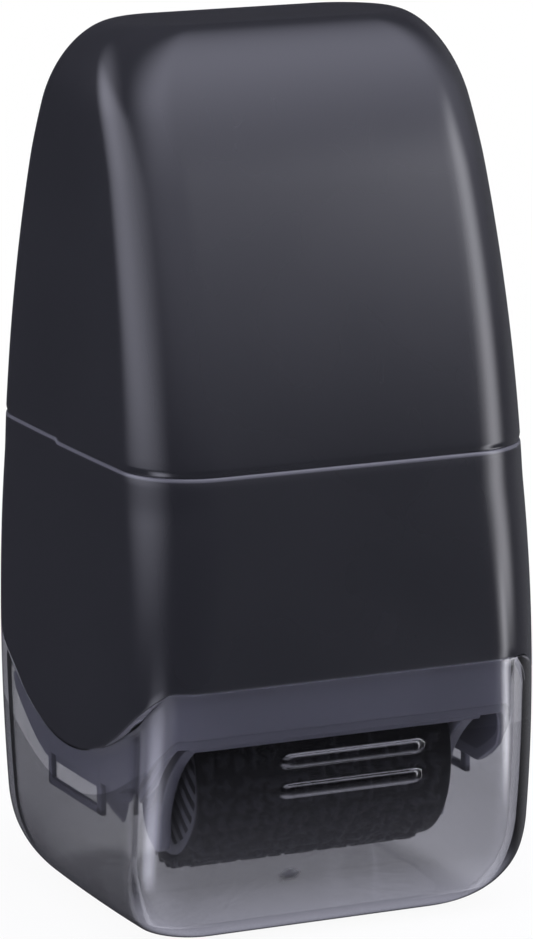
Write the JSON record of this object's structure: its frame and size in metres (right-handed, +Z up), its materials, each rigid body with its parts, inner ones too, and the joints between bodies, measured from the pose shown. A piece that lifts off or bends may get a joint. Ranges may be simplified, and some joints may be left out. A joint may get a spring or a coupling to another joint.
{
  "type": "privacy roller stamp",
  "caption": "Hand roller stamp that prints a masking pattern: black two-part housing, pull-out ink cartridge with a printing roller, and a see-through smoke cap with grip ribs.",
  "frame": {"origin": "middle of the cap's flat underside, where the stamp stands", "axes": "+Z up through the housing, +X along the rollers' axles, front with the grip ribs towards -Y"},
  "size_m": [0.039, 0.0412, 0.08],
  "materials": {
    "smoke_plastic": "clear smoke-grey moulded plastic, polished",
    "black_plastic": "charcoal-black moulded plastic, semi-gloss",
    "frame_plastic": "dark grey moulded plastic, satin",
    "plug_rubber": "soft black rubber",
    "ink_felt": "wool felt soaked with black ink",
    "ink_foam": "open-cell foam soaked with black ink",
    "white_plastic": "natural bearing plastic",
    "band_rubber": "moulded printing rubber, inked",
    "hub_plastic": "dark grey moulded plastic",
    "steel": "plain turned steel pin"
  },
  "bodies": {
    "housing": {"lower_body": "black_plastic"},
    "cover": {"upper_cover": "black_plastic"},
    "cartridge": {"cartridge_frame": "frame_plastic", "cartridge_lid": "frame_plastic", "filler_plug_left": "plug_rubber", "filler_plug_right": "plug_rubber", "ink_felt": "ink_felt", "ink_bush_left": "white_plastic", "ink_bush_right": "white_plastic", "roller_bush_left": "frame_plastic", "roller_bush_right": "frame_plastic"},
    "cap": {"cap": "smoke_plastic"},
    "print_roller": {"print_band": "band_rubber", "roller_core": "hub_plastic", "roller_end_left": "hub_plastic", "roller_end_right": "hub_plastic", "roller_axle": "steel"},
    "ink_roller": {"ink_foam_sleeve": "ink_foam", "ink_roller_core": "white_plastic", "ink_flange_left": "white_plastic", "ink_flange_right": "white_plastic", "ink_axle": "steel"}
  },
  "joints": [
    {"name": "cover_lift", "type": "slide", "parent": "housing", "child": "cover", "axis": [0, 0, 1], "range_m": [0, 0.03]},
    {"name": "cartridge_pull", "type": "slide", "parent": "housing", "child": "cartridge", "axis": [0, 0, -1], "range_m": [0, 0.03]},
    {"name": "cap_pull", "type": "slide", "parent": "cartridge", "child": "cap", "axis": [0, 0, -1], "range_m": [0, 0.035]},
    {"name": "print_roller_spin", "type": "hinge", "parent": "cartridge", "child": "print_roller", "pos_m": [0, -0.005, 0.0143], "axis": [1, 0, 0], "continuous": true},
    {"name": "ink_roller_spin", "type": "hinge", "parent": "cartridge", "child": "ink_roller", "pos_m": [0, 0.0012, 0.02937], "axis": [1, 0, 0], "continuous": true}
  ],
  "couplings": [
    {"joint": "ink_roller_spin", "follows": "print_roller_spin", "ratio": -1.3529}
  ]
}
